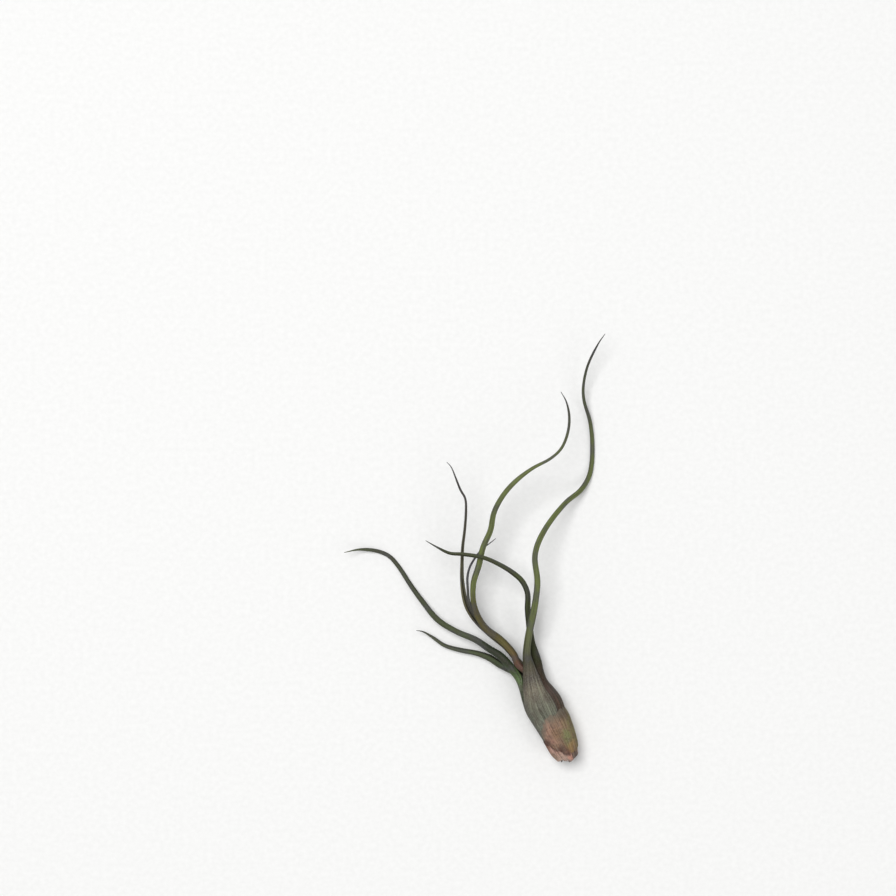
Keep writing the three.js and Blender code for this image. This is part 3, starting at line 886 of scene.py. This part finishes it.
def make_old_sheath():
    fray = torn_edge(seed=2, size=1.5, splits=26, width=6.0)
    hem = torn_edge(seed=7, size=1.1, splits=40)

    def low(angle):
        return smooth_value(OLD_SHEATH_HEM, 1, angle) - hem(angle)

    def high(angle):
        return smooth_value(OLD_SHEATH_EDGE, 1, angle) + fray(angle)

    def lift(drop):
        return (PAPER_GAP + PAPER_CLING) * ease(0, SETTLE, drop) - PAPER_CLING

    looks = (OLD_SHEATH_TONES, OLD_SHEATH_MARKS, OLD_SHEATH_SHADE, OLD_SHEATH_RELIEF)
    skin = paper_finish("old_sheath_paper", *looks)
    mesh = dry_sheet(OLD_SHEATH_EDGE[-1][0], OLD_SHEATH_EDGE[0][0], low, high, lift, seed=3)
    give_wall(new_piece("old_sheath_paper", mesh, skin, "dry_sheath", "old_sheath"), PAPER_WALL)


SCALE_TONES = [(0.0, "98847a"), (0.08, "c8a998"), (0.2, "c49c87"), (0.34, "936a57")]
# Painted shade: the scales darken just below the old sheath's hem, where they go under it.
SCALE_HEM_PAINTED_SHADE = ("3a211b", 0.75, 0.7, 1.7)
SCALE_RELIEF = 0.25

# Patches on the scales, in the same form.
SCALE_MARKS = [
    (80, 1.0, 20, 1.4, 0.9, "cb9380"),
    (112, 2.4, 14, 1.6, 0.8, "b59888"),
    (140, 4.8, 22, 1.9, 0.85, "cba292"),
    (156, 3.0, 22, 1.7, 0.7, "86735f"),
    (40, 0.6, 34, 1.6, 0.85, "4a4036"),
    (150, 7.9, 26, 1.0, 0.9, "5a241c"),
]
SCALE_TUCK = 0.9  # a scale goes this far under the old sheath
SCALE_CURL = 0.12  # how far a scale stands off, for each millimetre below its tucked edge

# A scale's lower edge, as places (angle, along), and its height over the sheaths.
SCALES = {
    "base_scale_right": ([(-58, 1.2), (-20, 0.6), (10, 0.3), (40, 0.0), (76, -0.5)], 0.02),
    "base_scale_front": ([(66, -0.3), (97, -0.6), (128, 0.7)], 0.12),
    "base_scale_left": ([(112, 1.2), (147, 0.9), (175, 1.2), (205, 2.0)], 0.02),
}


def scale_mesh(edge, rise, seed):
    fray = torn_edge(20 + seed, size=0.7, splits=70)
    top_fray = torn_edge(30 + seed, size=0.5, splits=40)

    def low(angle):
        return smooth_value(edge, 1, angle) - min(0, fray(angle))

    def high(angle):
        return smooth_value(OLD_SHEATH_HEM, 1, angle) + SCALE_TUCK + min(0, top_fray(angle))

    def lift(drop):
        return rise + SCALE_CURL * drop

    return dry_sheet(edge[-1][0], edge[0][0], low, high, lift, seed)


def make_scales():
    skin = paper_finish("base_scale_paper", SCALE_TONES, SCALE_MARKS, SCALE_HEM_PAINTED_SHADE, SCALE_RELIEF)
    for seed, (name, (edge, rise)) in enumerate(SCALES.items()):
        mesh = scale_mesh(edge, rise, seed)
        give_wall(new_piece(name + "_paper", mesh, skin, "dry_sheath", name), PAPER_WALL)


# ---- The stem -----------------------------------------------------------------------------------------

STEM_START = 0.2  # the stem's lower end, along the axis
STEM_SIDES = 40
COLLAR = 2.07  # the radius of the place that the sheaths sit on
MERGE_WITHIN = 0.001
BARK_DEPTH = 0.12
BARK_BUMPS = 1.7  # for each millimetre
BARK_SEED = 1  # without a seed, noise_vector takes its offsets from the clock

# The stem's outline: (radius, along the axis).
STEM_PROFILE = [
    (0, STEM_START),
    (0.9, STEM_START),
    (1.15, 0.9),
    (COLLAR, 1.6),
    (COLLAR, 4.6),
    (1.15, 6.1),
    (0, 6.5),
]

ROOT_SIDES = 14
ROOT_TAPER = 0.7  # a broken end's radius, as a share of the root's
ROOT_HOLD = 1.0  # the length of a root inside the stem

# Thick broken roots at the stem's lower end: (angle, distance from the axis, length).
ROOTS = [(20, 0.55, 0.75), (140, 0.6, 0.9), (255, 0.5, 0.65)]
ROOT_RADIUS = 0.42

# A ring of fine roots, with ranges of length, radius and splay.
FINE_ROOTS = 13
FINE_LENGTH = (0.5, 1.3)
FINE_RADIUS = (0.12, 0.22)
FINE_SPLAY = (25, 55)
FINE_SCATTER = 0.3  # as a share of the angle between two of them
FINE_START = 1.2  # along the axis
RING_RADIUS = 1.0  # the fine and the longer roots leave the stem this far from the axis

# Longer roots that show beside the scales: (angle, length, radius, start along the axis, splay).
LONG_ROOTS = [(152, 2.6, 0.27, 2.0, 56), (176, 2.2, 0.2, 1.9, 50)]


def stem_mesh():
    mesh = bmesh.new()
    corners = [mesh.verts.new(bulb_point(along, radius, 0)) for radius, along in STEM_PROFILE]
    edges = [mesh.edges.new(pair) for pair in zip(corners, corners[1:])]
    bmesh.ops.spin(
        mesh, geom=corners + edges, cent=FOOT, axis=ALONG, angle=math.tau, steps=STEM_SIDES, use_merge=True
    )
    bmesh.ops.remove_doubles(mesh, verts=mesh.verts, dist=MERGE_WITHIN)
    bmesh.ops.subdivide_edges(mesh, edges=mesh.edges, cuts=2, use_grid_fill=True)
    for angle, offset, length in ROOTS:
        add_root(mesh, math.radians(angle), offset, length, ROOT_RADIUS, STEM_START, 0)
    dice = random.Random(4)
    for i in range(FINE_ROOTS):
        angle = math.tau * (i + dice.uniform(-FINE_SCATTER, FINE_SCATTER)) / FINE_ROOTS
        length, radius, splay = (dice.uniform(*limits) for limits in (FINE_LENGTH, FINE_RADIUS, FINE_SPLAY))
        add_root(mesh, angle, RING_RADIUS, length, radius, FINE_START, splay)
    for angle, length, radius, start, splay in LONG_ROOTS:
        add_root(mesh, math.radians(angle), RING_RADIUS, length, radius, start, splay)
    bmesh.ops.recalc_face_normals(mesh, faces=mesh.faces)
    noise.seed_set(BARK_SEED)
    for vert in mesh.verts:
        vert.co = (vert.co + BARK_DEPTH * noise.noise_vector(vert.co * BARK_BUMPS)) * MM
    return mesh


def add_root(mesh, angle, offset, length, radius, start, splay):
    """A broken root: it leaves the stem at `start` along the axis and leans outwards by `splay` degrees."""
    sizes = {"radius1": radius * ROOT_TAPER, "radius2": radius, "depth": length + ROOT_HOLD}
    made = bmesh.ops.create_cone(mesh, cap_ends=True, segments=ROOT_SIDES, **sizes)
    out = SIDE * math.cos(angle) + UP * math.sin(angle)
    heading = ALONG * math.cos(math.radians(splay)) - out * math.sin(math.radians(splay))
    bmesh.ops.rotate(mesh, verts=made["verts"], matrix=UP.rotation_difference(heading).to_matrix())
    place = bulb_point(start, 0, 0) + out * offset + heading * (ROOT_HOLD - length) / 2
    bmesh.ops.translate(mesh, verts=made["verts"], vec=place)


BARK_TONES = [(0.3, "2c211c"), (0.5, "55463d"), (0.7, "7d7068")]
BARK_GRAIN = 0.6
BARK_ROUGHNESS = 0.9
BARK_RELIEF = 0.2


def make_stem():
    finish = Finish("woody_stem")
    grain = finish.noise(finish.place(), BARK_GRAIN * MM, 4)
    bark = finish.done(finish.ramp(grain, BARK_TONES), BARK_ROUGHNESS, grain, BARK_RELIEF)
    new_piece("woody_stem", stem_mesh(), bark, "stem", "stem")


# ---- Floor, light and camera --------------------------------------------------------------------------

VIEW_CENTRE = (-8.28, 31.25)  # the point under the camera
VIEW_SIZE = 280.0  # what the camera takes in, at VIEW_LEVEL above the floor
VIEW_LEVEL = 8.0
CAMERA_DISTANCE = 1200.0  # from VIEW_LEVEL

FLOOR_REACH = 4.0  # metres, from its middle to its edges
FLOOR_TONES = [(0.3, "f1f1f0"), (0.7, "f6f6f5")]
FLOOR_GRAIN = 1.5
FLOOR_ROUGHNESS = 0.9
FLOOR_RELIEF = 0.03

# Round lamps that face the origin: (name, place, width), in metres, and power in watts.
LAMPS = [("softbox", (-0.45, 0.4, 1.9), 1.1, 27), ("filler", (0.9, -0.6, 1.3), 1.2, 5)]
SKY_STRENGTH = 0.33


def make_floor():
    finish = Finish("pale_board")
    grain = finish.noise(finish.place(), FLOOR_GRAIN * MM, 3)
    board = finish.done(finish.ramp(grain, FLOOR_TONES), FLOOR_ROUGHNESS, grain, FLOOR_RELIEF)
    mesh = bmesh.new()
    bmesh.ops.create_grid(mesh, x_segments=1, y_segments=1, size=FLOOR_REACH)
    data = bpy.data.meshes.new("floor")
    mesh.to_mesh(data)
    mesh.free()
    data.materials.append(board)
    floor = bpy.data.objects.new("floor", data)
    bpy.context.scene.collection.objects.link(floor)


def make_lamp(name, place, width, power):
    data = bpy.data.lights.new(name, "AREA")
    data.shape = "DISK"
    data.size = width
    data.energy = power
    lamp = bpy.data.objects.new(name, data)
    lamp.location = place
    lamp.rotation_mode = "QUATERNION"
    lamp.rotation_quaternion = (-Vector(place)).to_track_quat("-Z", "Y")
    bpy.context.scene.collection.objects.link(lamp)


def make_studio():
    scene = bpy.context.scene
    scene.view_settings.view_transform = "Standard"
    world = bpy.data.worlds.new("studio")
    world.use_nodes = True
    sky = world.node_tree.nodes["Background"]
    sky.inputs["Color"].default_value = (1, 1, 1, 1)
    sky.inputs["Strength"].default_value = SKY_STRENGTH
    scene.world = world
    for lamp in LAMPS:
        make_lamp(*lamp)
    lens = bpy.data.cameras.new("camera")
    lens.lens = lens.sensor_width * CAMERA_DISTANCE / VIEW_SIZE
    camera = bpy.data.objects.new("camera", lens)
    camera.location = Vector((*VIEW_CENTRE, VIEW_LEVEL + CAMERA_DISTANCE)) * MM
    scene.collection.objects.link(camera)
    scene.camera = camera


make_studio()
make_floor()
make_leaves()
make_old_sheath()
make_scales()
make_stem()
